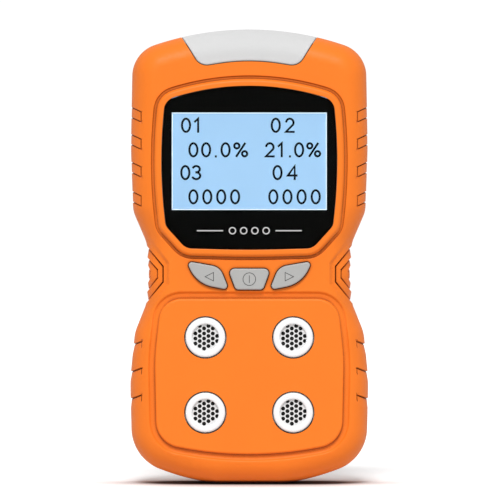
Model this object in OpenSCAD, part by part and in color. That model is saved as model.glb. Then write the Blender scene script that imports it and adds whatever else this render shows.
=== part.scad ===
// Portable four-gas detector: two-part case, window, keys, sensors, boards, battery, belt clip.
// Millimetres. +Z runs up the case, the front faces -Y, X is the width.
// The origin is the middle of the flat foot; the shells part on the plane y = 0.

/* [Case] */
// shell wall thickness
wall = 2; // [1.8:0.1:2.2]
// front face, distance from the parting plane
front_y = 14.4; // [14.4:0.1:15]
// rear face, distance from the parting plane
rear_y = 15; // [15:0.1:16]
// sideways run of the front rounding
front_run = 7; // [5:0.5:7]
// sideways run of the rear rounding
rear_run = 6; // [4:0.5:6]
// depth of each grip step
grip = 0.45; // [0.2:0.05:0.6]

/* [Window] */
// width of the display area
view_w = 44.2; // [40:0.1:45]
// height of the display area
view_h = 27.8; // [24:0.1:29]
// middle of the display area above the foot
view_z = 92.2; // [90:0.1:94]
// height of the window rim above the front face
rim_rise = 1.4; // [0.8:0.1:1.6]
// width of the window rim
rim_w = 2.1; // [1.6:0.1:2.4]

/* [Keys] */
// gap between a key and its opening
key_gap = 0.25; // [0.2:0.05:0.35]
// height of the keys above the front face
key_rise = 1.2; // [0.8:0.1:1.4]

/* [Ports] */
// sensor ports, distance from the middle
port_x = 12.5; // [12:0.1:12.8]
// lower sensor ports above the foot
port_z1 = 20.6; // [20.4:0.1:21]
// upper sensor ports above the foot
port_z2 = 42; // [41.8:0.1:42.2]
// outer diameter of a port ring
ring_d = 11.4; // [10:0.1:12]
// opening in a port ring
ring_bore = 7.6; // [6:0.1:8]
// diameter of a grille hole
mesh_d = 1.15; // [0.8:0.05:1.2]
// pitch of the grille holes
mesh_pitch = 1.43; // [1.3:0.01:1.6]
// gas sensor diameter
cell_d = 20.3; // [20:0.1:20.4]
// gas sensor height
cell_h = 16.6; // [15:0.1:16.6]

/* [Belt clip] */
// hinge pin diameter
pin_d = 2; // [1.6:0.1:2.2]
// spring wire diameter
wire_d = 0.8; // [0.6:0.1:0.8]
// lever thickness
lever_t = 1.6; // [1.2:0.1:2]

/* [Hidden] */
$fn = 48;
orange = [0.95, 0.42, 0.08];
face = -front_y;
rim = face - rim_rise;
panel_top = face - 0.6;
seat = rim + 2.5;
inner = face + wall;
key_top = face - key_rise;
cap_in = inner + 0.05;
ports = [[-port_x, port_z2], [port_x, port_z2], [-port_x, port_z1], [port_x, port_z1]];
case_at = [[26.4, 116.3], [23.6, 61], [25.4, 12.6]];
main_at = [[-18.5, 117], [18.5, 117], [0, 65.6]];
cell_at = [[-26.2, 31.3], [26.2, 31.3], [0, 31.3]];
clip_at = [[-6.5, 109.5], [6.5, 109.5]];
py = 19.5;
pz = 104;
coil_r = 1.75;
seal_in = 1.1;
seal_w = 0.6;
board_y0 = -7.6;
board_y1 = -6;
cell_y0 = 6.4;
cell_y1 = 8;
// outlines, right half from the top down: x, z, corner radius, steps
case_h = [[0, 134.6, 85, 12], [33.45, 123.6, 9.5, 6], [33.95, 96, 110, 2], [33.3, 78, 8.4, 2],
  [29.3, 68.7, 9, 2], [29.1, 60, 60, 1], [29.4, 51.8, 9, 2], [32.8, 43.4, 12, 2],
  [34.15, 30, 60, 2], [33.6, 7.1, 12.6, 7], [17.29, 1.045, 66, 4], [9, 0, 2, 1]];
lens_h = [[0, 117, 72, 16], [23.95, 109.5, 2.5, 5], [25.7, 91.2, 140, 6], [23.75, 73.8, 3, 4],
  [18, 67.45, 4, 4], [0, 66.95, 330, 4]];
panel_h = [[25.1, 53, 6.5, 6], [26.9, 36, 60, 4], [26.4, 11.97, 4.5, 6], [0, 6.74, 104, 10]];
diff_h = [[21.4, 131, 0.5, 2], [14.1, 119.1, 4, 6], [0, 121.3, 56, 12]];
mid_key_h = [[6.1, 61.6, 1.3, 5], [3.9, 55.6, 1.2, 5]];
side_key = [[8.4, 62.05, 4, 6], [17.95, 63.75, 0.9, 4], [14.9, 57.3, 9, 8], [5.75, 55.5, 0.9, 4]];
frame_h = [[25.9, 113.2, 1, 4], [25.9, 78.5, 2, 3], [23.6, 73.2, 1, 3]];
glass_h = [[24.6, 111.9, 0.4, 2], [24.6, 77.6, 0.4, 2], [23.6, 74.6, 0.4, 2]];
main_h = [[22.6, 121, 1, 3], [22.6, 112.6, 0.5, 2], [27.4, 112.6, 1, 3], [27.4, 75, 2, 3],
  [19.4, 66.4, 2, 3], [19.4, 52.7, 1, 3]];
cell_board_h = [[25.4, 56.2, 1, 3], [29.2, 46, 3, 3], [29.2, 17.4, 1, 3], [21.4, 17.4, 0.5, 2],
  [21.4, 9.4, 1, 3], [6.6, 9.4, 0.5, 2], [6.6, 3.2, 0.6, 3]];
label_h = [[19, 50, 2.5, 5], [19, 16, 2.5, 5]];

function unit(v) = v / norm(v);
function turn(a) = a > 180 ? a - 360 : a < -180 ? a + 360 : a;
function sym(h) = concat(h, [for (i = [len(h) - 1:-1:0]) if (h[i][0] > 0)
  [-h[i][0], h[i][1], h[i][2], h[i][3]]]);
function fillet(p, a, b, r, n, d) =
  let (u = unit(a - p), w = unit(b - p), h = acos(u * w) / 2, t = r / tan(h))
  let (c = p + unit(u + w) * r / sin(h), s = u[0] * w[1] - u[1] * w[0] > 0 ? 1 : -1)
  let (f = p + u * t - c, g = p + w * t - c, a0 = atan2(f[1], f[0]))
  let (sweep = turn(atan2(g[1], g[0]) - a0))
  [for (k = [0:n]) c + (r - s * d) * [cos(a0 + sweep * k / n), sin(a0 + sweep * k / n)]];
// rounded outline of v, moved inwards by d
function ring(v, d = 0) = let (n = len(v)) [for (i = [0:n - 1]) each
  fillet([v[i][0], v[i][1]], [v[(i + n - 1) % n][0], v[(i + n - 1) % n][1]],
    [v[(i + 1) % n][0], v[(i + 1) % n][1]], v[i][2], v[i][3], d)];

case_v = sym(case_h);
lens_v = sym(lens_h);
panel_v = sym(panel_h);
diff_v = sym(diff_h);
mid_key_v = sym(mid_key_h);
left_key_v = [for (i = [3:-1:0]) [-side_key[i][0], side_key[i][1], side_key[i][2], side_key[i][3]]];

module ext(pts, y0, y1) {
  translate([0, y1, 0])
    rotate([90, 0, 0])
      linear_extrude(y1 - y0)
        polygon(pts);
}
module cy(x, z, d, y0, y1) {
  translate([x, y1, z])
    rotate([90, 0, 0])
      cylinder(d = d, h = y1 - y0);
}
module cx(y, z, d, x0, x1) {
  translate([x0, y, z])
    rotate([0, 90, 0])
      cylinder(d = d, h = x1 - x0);
}
module bx(x0, x1, y0, y1, z0, z1) {
  translate([x0, y0, z0])
    cube([x1 - x0, y1 - y0, z1 - z0]);
}
// half of a case: straight band, then an elliptical rounding up to the face
module half(band, run, dep, d, m = 5) {
  v = case_v;
  n = len(ring(v));
  pts = [for (k = [0:m + 1]) let (t = 90 * max(k - 1, 0) / m)
    for (p = ring(v, d + run * (1 - cos(t))))
      [p[0], k == 0 ? 0 : -band - (dep - band) * sin(t), p[1]]];
  caps = [[for (i = [0:n - 1]) (m + 1) * n + i], [for (i = [n - 1:-1:0]) i]];
  sides = [for (k = [0:m], i = [0:n - 1]) let (j = (i + 1) % n, a = k * n, b = a + n)
    each [[b + i, a + i, a + j], [b + i, a + j, b + j]]];
  polyhedron(points = pts, faces = concat(caps, sides));
}
module front_half(d = 0, s = 0) {
  half(5, front_run, front_y - s, d);
}
module front_room() {
  half(5, front_run - 1.5, front_y - wall, wall);
}
module rear_half(d = 0, s = 0) {
  mirror([0, 1, 0])
    half(8, rear_run, rear_y - s, d, 4);
}
module rear_room() {
  mirror([0, 1, 0])
    half(8, rear_run - 1.5, rear_y - wall, wall, 4);
}
module both_sides(p) {
  hull()
    ext(p, -16, 16);
  mirror([1, 0, 0])
    hull()
      ext(p, -16, 16);
}
// grip notches and the outer step of the waist
module grips() {
  for (z = [107.8, 100, 92.1, 83.8])
    both_sides([[30.9, z - 1.5], [36, z + 1], [36, z - 1.9], [30.9, z - 4.4]]);
  for (z = [39.6, 32, 24.3])
    both_sides([[30.8, z + 1.3], [36, z - 0.7], [36, z - 3.7], [30.8, z - 1.7]]);
  both_sides([[24.7, 62.2], [29.6, 68.3], [36, 68.3], [36, 51.5], [29.8, 51.5], [24.7, 57.9]]);
}
module waist_step() {
  both_sides([[26.7, 61.5], [29.1, 64.7], [36, 64.7], [36, 55.1], [29.4, 55.1], [26.7, 58.4]]);
}
module seal_ring(g = 0) {
  difference() {
    ext(ring(case_v, seal_in - g), -0.5 - g, 0.5 + g);
    ext(ring(case_v, seal_in + seal_w + g), -1, 1);
    ext(ring(diff_v, -0.3), -1, 1);
  }
}

module front_shell() {
  $fn = 32;
  color(orange)
  difference() {
    union() {
      difference() {
        union() {
          difference() {
            front_half();
            grips();
          }
          difference() {
            front_half(grip, 0.35);
            waist_step();
          }
          front_half(2 * grip, 0.7);
          ext(ring(lens_v, -rim_w), rim, face + 1);
          ext(ring(panel_v), panel_top, face + 1);
        }
        front_room();
      }
      for (s = [-1, 1], i = [0:2])
        cy(s * case_at[i][0], case_at[i][1], 6.4, i == 1 ? -9 : -12.6, 0);
      for (p = main_at)
        cy(p[0], p[1], 4.4, -12.6, board_y0);
    }
    ext(ring(lens_v, -0.12), rim - 1, seat);
    ext(ring(lens_v, 1.6), rim, inner + 0.5);
    ext(ring(mid_key_v, -key_gap), rim - 1, inner + 0.5);
    ext(ring(side_key, -key_gap), rim - 1, inner + 0.5);
    ext(ring(left_key_v, -key_gap), rim - 1, inner + 0.5);
    for (p = ports)
      cy(p[0], p[1], ring_d + 0.7, rim - 1, inner + 0.5);
    ext(ring(diff_v), rim, 0.5);
    for (s = [-1, 1], p = case_at)
      cy(s * p[0], p[1], 2.56, -6.5, 0.5);
    for (p = main_at)
      cy(p[0], p[1], 2.06, -11.6, -7);
    seal_ring();
  }
}
module rear_shell() {
  $fn = 32;
  color(orange)
  difference() {
    union() {
      difference() {
        union() {
          difference() {
            rear_half();
            grips();
          }
          difference() {
            rear_half(grip, 0);
            waist_step();
          }
          rear_half(2 * grip, 0);
        }
        rear_room();
      }
      for (s = [-1, 1], p = case_at)
        cy(s * p[0], p[1], 6.8, 0, 13.3);
      for (p = cell_at)
        cy(p[0], p[1], 4.6, cell_y1, 13.3);
      for (p = clip_at)
        cy(p[0], p[1], 5.4, 9, 13.3);
      bx(-12, 12, 8, 13.3, 68.6, 69.8);
      bx(-12, 12, 8, 13.3, 104.2, 105.4);
    }
    for (s = [-1, 1], p = case_at) {
      cy(s * p[0], p[1], 2.8, -0.5, 11);
      cy(s * p[0], p[1], 5.4, 10.6, 16);
    }
    for (p = cell_at)
      cy(p[0], p[1], 2.06, 7, 12.5);
    for (p = clip_at)
      cy(p[0], p[1], 2.56, 9.5, 16);
    ext(ring(diff_v), -0.5, 6.15);
    for (z = [108.6, 111.2, 113.8])
      bx(-20, -12.5, 12, 16, z - 0.5, z + 0.5);
    bx(-8.2, 8.2, 1.2, 7.98, -1, 1.25);
    bx(-4.9, 4.9, 2.7, 6.8, 0, 4);
    ext(ring(sym(label_h), -0.1), rear_y - 0.3, 16);
    seal_ring();
  }
}
module case_seal() {
  color([0.15, 0.15, 0.16])
  seal_ring();
}
module alarm_diffuser() {
  color([0.92, 0.92, 0.9])
  intersection() {
    ext(ring(diff_v, 0.12), -16, 6);
    difference() {
      union() {
        front_half();
        rear_half();
      }
      union() {
        front_room();
        rear_room();
      }
    }
  }
}
module window_lens() {
  color([0.1, 0.1, 0.12])
  ext(ring(lens_v), rim + 0.8, rim + 2.3);
}
module window_mask() {
  color([0.03, 0.03, 0.03])
  difference() {
    ext(ring(lens_v), rim + 2.3, seat);
    bx(-view_w / 2, view_w / 2, -16, -10, view_z - view_h / 2, view_z + view_h / 2);
  }
}
module lcd_panel() {
  color([0.62, 0.8, 0.93])
  ext(ring(sym(glass_h)), -12.2, -10.2);
}
module backlight_panel() {
  color([0.93, 0.93, 0.95])
  ext(ring(sym(glass_h), 0.2), -10.2, -7.8);
}
module lcd_frame() {
  color([0.85, 0.85, 0.85])
  difference() {
    ext(ring(sym(frame_h)), -12.3, board_y0);
    ext(ring(sym(glass_h), -0.05), -12.2, -7.8);
    bx(-23.4, 23.4, -13, -12, 75.8, 110.7);
    bx(-22, 22, -8, -7, 77, 109.5);
  }
}
module key(v, x, z) {
  color([0.76, 0.76, 0.76]) {
    ext(ring(v), key_top, cap_in);
    ext(ring(v, -0.6), cap_in, cap_in + 0.9);
    cy(x, z, 3, cap_in + 0.9, -11.15);
  }
}
module left_button() {
  key(left_key_v, -11.5, 59.3);
}
module power_button() {
  key(mid_key_v, 0, 58.6);
}
module right_button() {
  key(side_key, 11.5, 59.3);
}
module switch_body(x, z) {
  color([0.15, 0.15, 0.15])
  difference() {
    bx(x - 3.1, x + 3.1, -10.3, board_y0, z - 3.1, z + 3.1);
    cy(x, z, 3.5, -10.5, -8.4);
  }
}
module plunger(x, z) {
  color([0.3, 0.3, 0.3])
  cy(x, z, 3.4, -11.15, -9);
}
module main_board() {
  color([0.1, 0.4, 0.25])
  difference() {
    ext(ring(sym(main_h)), board_y0, board_y1);
    for (p = main_at)
      cy(p[0], p[1], 2.3, -8, -5);
  }
}
module sensor_board() {
  color([0.1, 0.4, 0.25])
  difference() {
    ext(ring(sym(cell_board_h)), cell_y0, cell_y1);
    for (p = cell_at)
      cy(p[0], p[1], 2.3, 6, 9);
  }
}
module board_chips() {
  color([0.08, 0.08, 0.09]) {
    bx(-5, 5, board_y1, -4.8, 86, 96);
    bx(11, 16, board_y1, -4.6, 88, 94);
    bx(-18, -13, board_y1, -4.9, 84, 88);
    bx(-20, -14, board_y1, -4.5, 94, 100);
    bx(-4, 4, cell_y1, 9.2, 38, 46);
    bx(10, 15, cell_y1, 9, 30, 34);
    bx(-15, -10, cell_y1, 9, 30, 34);
  }
}
module board_header() {
  color([0.1, 0.1, 0.1])
  bx(-9, 9, board_y1, cell_y0, 53.1, 55.7);
}
module port_ring(i) {
  x = ports[i][0];
  z = ports[i][1];
  color([0.95, 0.95, 0.95])
  difference() {
    union() {
      cy(x, z, ring_d, panel_top - 0.3, -11.8);
      cy(x, z, 14.6, cap_in, -11.8);
    }
    cy(x, z, ring_bore, -16, -14);
    cy(x, z, 8.8, -14.3, -11);
  }
}
module grille(i) {
  x = ports[i][0];
  z = ports[i][1];
  color([0.5, 0.5, 0.5])
  difference() {
    cy(x, z, 8.8, -14.3, -13.8);
    for (a = [-3:3], b = [-3:3])
      let (gx = -0.38 + a * mesh_pitch * cos(30), gz = -0.32 + (b + (a % 2 == 0 ? 0 : 0.5)) * mesh_pitch)
        if (norm([gx, gz]) < 3.75)
          cy(x + gx, z + gz, mesh_d, -15, -13);
  }
}
module gasket(i) {
  color([0.2, 0.2, 0.2])
  difference() {
    cy(ports[i][0], ports[i][1], 14.4, -11.8, -11.3);
    cy(ports[i][0], ports[i][1], 9, -12, -11);
  }
}
module gas_sensor(i) {
  x = ports[i][0];
  z = ports[i][1];
  y1 = -11.3 + cell_h;
  color([0.85, 0.85, 0.8])
  difference() {
    union() {
      cy(x, z, cell_d, -9.8, y1);
      cy(x, z, cell_d - 2, -11.3, -9.8);
      for (a = [90, 210, 330])
        cy(x + 6.8 * cos(a), z + 6.8 * sin(a), 1.5, y1, cell_y0);
    }
    cy(x, z, 6, -12, -10.7);
  }
}
module battery_pack() {
  color([0.2, 0.35, 0.6])
  bx(-23, 23, 3.2, 12.4, 70, 104);
}
module battery_pad() {
  color([0.25, 0.25, 0.25])
  bx(-20, 20, 12.4, 13, 73, 101);
}
module battery_connector() {
  color([0.93, 0.92, 0.88])
  difference() {
    bx(12, 20, board_y1, -2.5, 106, 111);
    bx(12.8, 19.2, -5.2, -3.3, 105, 109.5);
  }
}
module battery_leads() {
  color([0.7, 0.1, 0.1])
  for (x = [14.5, 17.5]) {
    translate([x, -4.25, 105])
      cylinder(d = 1.2, h = 3.5);
    cx(-4.25, 105, 1.2, x - 0.05, x + 0.05);
    translate([x, -4.25, 105])
      sphere(d = 1.2);
    cy(x, 105, 1.2, -4.25, 7);
    translate([x, 7, 105])
      sphere(d = 1.2);
    translate([x, 7, 104])
      cylinder(d = 1.2, h = 1);
  }
}
module buzzer() {
  color([0.1, 0.1, 0.1])
  difference() {
    cy(-10.6, 113, 9.6, board_y1, -1.6);
    cy(-10.6, 113, 2, -2.6, -1);
  }
}
module motor_can() {
  color([0.75, 0.75, 0.76])
  difference() {
    cx(-3, 62, 6, -19.4, -8.2);
    cx(-3, 62, 1.1, -14, -8);
  }
}
module motor_shaft() {
  color([0.7, 0.7, 0.7])
  cx(-3, 62, 1, -13.6, -3.4);
}
module motor_weight() {
  color([0.45, 0.45, 0.47])
  difference() {
    union() {
      cx(-3, 62, 2.2, -7.4, -3.8);
      intersection() {
        cx(-3, 62, 5.4, -7.4, -3.8);
        bx(-8, -3, -6, 0, 58, 62);
      }
    }
    cx(-3, 62, 1, -8, -3);
  }
}
module alarm_leds() {
  color([0.95, 0.9, 0.8])
  for (x = [-8, 8])
    bx(x - 1.75, x + 1.75, -9.5, board_y0, 117.2, 120);
}
module charge_socket() {
  color([0.75, 0.75, 0.76]) {
    difference() {
      bx(-4.47, 4.47, 3.14, cell_y0, 1.95, 9.3);
      bx(-4.17, 4.17, 3.44, 6.1, 1, 8.3);
    }
    bx(-3.35, 3.35, 4.42, 5.12, 2.6, 8.4);
  }
}
module port_cover() {
  color([0.16, 0.16, 0.17]) {
    bx(-8, 8, 1.4, 7.35, 0.12, 1.12);
    cx(7.35, 0.62, 1.1, -8, 8);
    bx(-4.3, 4.3, 3.25, 6.25, 1.12, 1.75);
  }
}
module screw(x, z, y0, y1, d, hd, hh) {
  difference() {
    union() {
      cy(x, z, d, y0, y1);
      cy(x, z, hd, y1, y1 + hh);
    }
    bx(x - hd / 3, x + hd / 3, y1 + hh - 0.7, y1 + hh + 1, z - 0.3, z + 0.3);
    bx(x - 0.3, x + 0.3, y1 + hh - 0.7, y1 + hh + 1, z - hd / 3, z + hd / 3);
  }
}
module case_screws() {
  color([0.6, 0.6, 0.62])
  for (s = [-1, 1], p = case_at)
    screw(s * p[0], p[1], -6, 10.6, 2.5, 4.8, 1.8);
}
module board_screws() {
  color([0.6, 0.6, 0.62]) {
    for (p = main_at)
      screw(p[0], p[1], -11.2, board_y1, 2, 3.8, 1.3);
    for (p = cell_at)
      mirror([0, 1, 0])
        screw(p[0], p[1], -12.2, -cell_y0, 2, 3.8, 1.3);
  }
}
module clip_base() {
  color([0.12, 0.12, 0.13])
  difference() {
    union() {
      ext(ring(sym([[10, 117, 2, 5], [10, 96, 2, 5]])), rear_y, 16.6);
      bx(-3.6, 3.6, 16.6, py - coil_r - wire_d / 2 - 0.05, 102, 112);
      for (s = [-1, 1]) {
        cx(py, pz, 4.6, s * 8.8 - 0.9, s * 8.8 + 0.9);
        bx(s * 8.8 - 0.9, s * 8.8 + 0.9, 16.6, py, pz - 2.3, pz + 2.3);
      }
    }
    cx(py, pz, pin_d, -11, 11);
    for (p = clip_at) {
      cy(p[0], p[1], 2.8, 14, 18);
      cy(p[0], p[1], 4.8, 15.8, 18);
    }
  }
}
module clip_lever() {
  t = lever_t;
  side = [[21.7, 104.6], [22.7, 119], [22.7 + t, 118.6], [21.7 + t, 104.4], [21.7 + t, 70.2],
    [17.3, 61.6], [19.4, 57.8], [18.2, 57.1], [15.5, 61.2], [15.5, 62.2], [21.7, 71]];
  color([0.14, 0.14, 0.15])
  difference() {
    union() {
      translate([-7.4, 0, 0])
        rotate([90, 0, 90])
          linear_extrude(14.8)
            polygon(side);
      for (x = [-7.5, 3.7]) {
        cx(py, pz, 4.6, x, x + 3.8);
        bx(x, x + 3.8, py, 22, pz - 2.3, pz + 2.3);
      }
      for (z = [109:2.4:117])
        bx(-6.4, 6.4, 21.7 + t + (z - 104) * 0.066, 22.1 + t + (z - 104) * 0.066, z, z + 1);
    }
    cx(py, pz, pin_d + 0.1, -9, 9);
  }
}
module clip_pin() {
  color([0.7, 0.7, 0.72])
  cx(py, pz, pin_d, -9.7, 9.7);
}
// torsion spring: a leg up the base, the coil round the pin, a leg up the lever
module clip_spring() {
  turns = 3.5;
  steps = 56;
  w = wire_d / 2;
  path = concat(
    [[-2.6, 180, 8, 0]],
    [for (k = [0:steps]) [-2.6 + 5.2 * k / steps, 180 + 360 * turns * k / steps, 0, 0]],
    [[2.6, 0, 10, 0.6]]);
  m = 8;
  pts = [for (p = path, j = [0:m - 1]) let (r = coil_r + w * cos(45 * j), a = p[1])
    [p[0] + w * sin(45 * j), py + r * cos(a) + p[3], pz + r * sin(a) + p[2]]];
  n = len(path);
  caps = [[for (j = [0:m - 1]) j], [for (j = [m - 1:-1:0]) (n - 1) * m + j]];
  sides = [for (k = [0:n - 2], j = [0:m - 1]) let (q = (j + 1) % m, a = k * m, b = a + m)
    each [[a + j, b + j, b + q], [a + j, b + q, a + q]]];
  color([0.7, 0.7, 0.72])
  polyhedron(points = pts, faces = concat(caps, sides));
}
module clip_screws() {
  color([0.6, 0.6, 0.62])
  for (p = clip_at)
    screw(p[0], p[1], 10, 15.8, 2.5, 4.4, 0.8);
}
module rear_label() {
  color([0.8, 0.8, 0.8])
  ext(ring(sym(label_h)), rear_y - 0.3, rear_y - 0.05);
}

front_shell();
rear_shell();
case_seal();
alarm_diffuser();
window_lens();
window_mask();
lcd_panel();
lcd_frame();
backlight_panel();
left_button();
power_button();
right_button();
switch_body(-11.5, 59.3);  // left_switch
switch_body(0, 58.6);  // power_switch
switch_body(11.5, 59.3);  // right_switch
plunger(-11.5, 59.3);  // left_plunger
plunger(0, 58.6);  // power_plunger
plunger(11.5, 59.3);  // right_plunger
main_board();
sensor_board();
board_chips();
board_header();
port_ring(0);  // port_ring_combustible
port_ring(1);  // port_ring_oxygen
port_ring(2);  // port_ring_h2s
port_ring(3);  // port_ring_co
grille(0);  // grille_combustible
grille(1);  // grille_oxygen
grille(2);  // grille_h2s
grille(3);  // grille_co
gasket(0);  // gasket_combustible
gasket(1);  // gasket_oxygen
gasket(2);  // gasket_h2s
gasket(3);  // gasket_co
gas_sensor(0);  // sensor_combustible
gas_sensor(1);  // sensor_oxygen
gas_sensor(2);  // sensor_h2s
gas_sensor(3);  // sensor_co
battery_pack();
battery_pad();
battery_connector();
battery_leads();
buzzer();
motor_can();
motor_shaft();
motor_weight();
alarm_leds();
charge_socket();
port_cover();
case_screws();
board_screws();
clip_base();
clip_lever();
clip_pin();
clip_spring();
clip_screws();
rear_label();
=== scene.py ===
"""Looks of the portable gas detector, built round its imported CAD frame. Metres, +Z up, front -Y."""
import math

import bmesh
import bpy
import numpy as np
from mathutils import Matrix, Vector
from mathutils.geometry import delaunay_2d_cdt


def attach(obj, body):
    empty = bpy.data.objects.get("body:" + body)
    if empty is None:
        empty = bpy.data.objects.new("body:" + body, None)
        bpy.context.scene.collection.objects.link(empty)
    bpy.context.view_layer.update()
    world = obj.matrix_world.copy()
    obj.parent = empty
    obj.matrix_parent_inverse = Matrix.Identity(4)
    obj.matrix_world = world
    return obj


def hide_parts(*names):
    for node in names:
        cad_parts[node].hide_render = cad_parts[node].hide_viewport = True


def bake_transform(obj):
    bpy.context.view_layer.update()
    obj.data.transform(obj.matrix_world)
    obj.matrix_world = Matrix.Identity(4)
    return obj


MM = 0.001
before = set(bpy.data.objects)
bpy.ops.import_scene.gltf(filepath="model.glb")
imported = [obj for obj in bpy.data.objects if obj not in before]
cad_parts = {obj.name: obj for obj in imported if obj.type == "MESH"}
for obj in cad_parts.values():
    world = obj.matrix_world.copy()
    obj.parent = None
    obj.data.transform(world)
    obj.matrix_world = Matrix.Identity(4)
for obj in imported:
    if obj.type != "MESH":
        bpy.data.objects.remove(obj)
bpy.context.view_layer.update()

# ---------------------------------------------------------------- sizes, in millimetres
FRONT_BAND, FRONT_RUN, FRONT_Y = 5.0, 7.0, 14.4
REAR_BAND, REAR_RUN, REAR_Y = 8.0, 6.0, 15.0
RIM_Y, PANEL_Y, LENS_Y, SEAT_Y = 15.8, 15.0, 15.0, 13.3
LIGHT_END, WALL, LIGHT_WALL = 6.0, 1.1, 1.6
KEY_Y, KEY_BACK, KEY_GAP, INNER_Y = 15.6, 11.5, 0.25, 12.4
PORTS = [(-12.5, 42.0), (12.5, 42.0), (-12.5, 20.6), (12.5, 20.6)]
PORT_NAMES = ["combustible", "oxygen", "h2s", "co"]
PORT_HOLE, RING_D, RING_BORE = 12.1, 11.4, 7.6
VIEW_W, VIEW_H, VIEW_Z = 44.2, 27.8, 92.2
READING_Y, MARK_Z = -12.2, 72.4
CASE_SCREWS = [(26.4, 116.3), (23.6, 61.0), (25.4, 12.6)]
SCREW_BORE, BORE_END = 5.4, 10.6
# window rim and the moat round it, from the edge of the window outwards
RIM_CREST, RIM_END, RIM_DROP = 1.15, 2.2, 1.75
MOAT_END, MOAT_EASE, MOAT_DEEP = 2.8, 0.35, 0.35
# groove round the raised panel
GROOVE_OUT, GROOVE_EASE, GROOVE_DEEP = 2.2, 0.8, 0.7
# pocket of the port cover in the base: half width, y from and to, height, and the socket opening
POCKET_X, POCKET_Y0, POCKET_Y1, POCKET_H = 8.2, 1.2, 7.98, 1.25
SOCKET_X, SOCKET_Y0, SOCKET_Y1, SOCKET_DEEP = 4.9, 2.7, 6.8, 3.2
# hinge pin of the clip and the spring on it
PIN_Y, PIN_Z, COIL_R, WIRE_R, COIL_HALF = 19.5, 104.0, 1.75, 0.4, 2.6
# camera, in metres: width of the picture at the face, height of its middle, distance
FRAME_W, VIEW_MID, AWAY = 0.1432, 0.0669, 1.6
# how far the painted shadow on the floor reaches round the object, in metres
FLOOR_SHADOW_REACH = 0.05
# outlines: x, z and corner radius, right half from the top down
CASE_H = [(0, 134.6, 85), (33.45, 123.6, 9.5), (33.95, 96, 110), (33.3, 78, 8.4), (29.3, 68.7, 9),
          (29.1, 60, 60), (29.4, 51.8, 9), (32.8, 43.4, 12), (34.15, 30, 60), (33.6, 7.1, 12.6),
          (17.29, 1.045, 66), (9, 0, 2)]
LENS_H = [(0, 117, 72), (23.95, 109.5, 4.0), (25.7, 91.2, 140), (23.75, 73.8, 3), (18, 67.45, 4),
          (0, 66.95, 330)]
PANEL_H = [(25.1, 53, 6.5), (26.9, 36, 60), (26.4, 11.97, 7.5), (0, 6.74, 104)]
DIFF_H = [(21.4, 131, 0.5), (14.1, 119.1, 4), (0, 121.3, 56)]
MID_KEY_H = [(6.1, 61.6, 1.3), (3.9, 55.6, 1.2)]
SIDE_KEY = [(8.4, 62.05, 4), (17.95, 63.75, 0.9), (14.9, 57.3, 9), (5.75, 55.5, 0.9)]
LABEL_H = [(19, 50, 2.5), (19, 16, 2.5)]


# ---------------------------------------------------------------- plane outlines
def sym(half):
    """The whole outline from its right half."""
    return list(half) + [(-x, z, r) for x, z, r in reversed(half) if x > 0]


def flipped(points):
    """The outline mirrored to the other side."""
    return [(-x, z, r) for x, z, r in reversed(points)]


def ring(corners, inset=0.0, step=0.6):
    """Closed outline with its corners rounded, moved inwards by inset."""
    out = []
    n = len(corners)
    for i in range(n):
        p = np.array(corners[i][:2], float)
        u = np.array(corners[i - 1][:2]) - p
        w = np.array(corners[(i + 1) % n][:2]) - p
        u, w = u / np.linalg.norm(u), w / np.linalg.norm(w)
        half = math.acos(max(-1.0, min(1.0, float(u @ w)))) / 2
        r = corners[i][2]
        centre = p + (u + w) / np.linalg.norm(u + w) * r / math.sin(half)
        side = 1 if u[0] * w[1] - u[1] * w[0] > 0 else -1
        f, g = p + u * r / math.tan(half) - centre, p + w * r / math.tan(half) - centre
        a0 = math.atan2(f[1], f[0])
        sweep = (math.atan2(g[1], g[0]) - a0 + math.pi) % (2 * math.pi) - math.pi
        steps = max(2, round(abs(sweep) * max(r, 1.0) / step), round(abs(sweep) / 0.26))
        for k in range(steps + 1):
            a = a0 + sweep * k / steps
            out.append(centre + (r - side * inset) * np.array([math.cos(a), math.sin(a)]))
    return np.array(out)


def circle(x, z, d, n=72):
    """Closed circle of diameter d."""
    a = np.arange(n) * 2 * math.pi / n
    return np.stack([x + d / 2 * np.cos(a), z - d / 2 * np.sin(a)], 1)


def split(loop, step):
    """The closed loop with no stretch longer than step."""
    out = []
    for a, b in zip(loop, np.roll(loop, -1, axis=0)):
        n = max(1, math.ceil(np.linalg.norm(b - a) / step - 1e-9))
        out.extend(a + (b - a) * k / n for k in range(n))
    return np.array(out)


def depth_in(points, loop):
    """Distance from the closed loop, positive inside it."""
    px, pz = points[:, 0], points[:, 1]
    best = np.full(len(points), 1e9)
    odd = np.zeros(len(points), bool)
    for (ax, az), (bx, bz) in zip(loop, np.roll(loop, -1, axis=0)):
        dx, dz = bx - ax, bz - az
        ll = dx * dx + dz * dz
        if ll < 1e-12:
            continue
        t = np.clip(((px - ax) * dx + (pz - az) * dz) / ll, 0, 1)
        best = np.minimum(best, (px - ax - t * dx) ** 2 + (pz - az - t * dz) ** 2)
        if dz != 0:
            odd ^= ((az > pz) != (bz > pz)) & (px < dx * (pz - az) / dz + ax)
    return np.sqrt(best) * np.where(odd, 1, -1)


CASE = sym(CASE_H)
LENS = sym(LENS_H)
PANEL = sym(PANEL_H)
DIFF = sym(DIFF_H)
MID_KEY = sym(MID_KEY_H)
LEFT_KEY = flipped(SIDE_KEY)
LABEL = sym(LABEL_H)
CASE_LOOP = ring(CASE, 0.02, 0.5)
LENS_LOOP = ring(LENS, 0, 0.5)
PANEL_LOOP = ring(PANEL, 0, 0.5)
LABEL_LOOP = ring(LABEL, -0.1, 0.5)
DIFF_LOOP = ring(DIFF, 0, 0.4)


# ---------------------------------------------------------------- grip notches and waist chevrons
def mirror_x(points):
    """The other side of a plain outline."""
    return [(-x, z) for x, z in reversed(points)]


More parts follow.
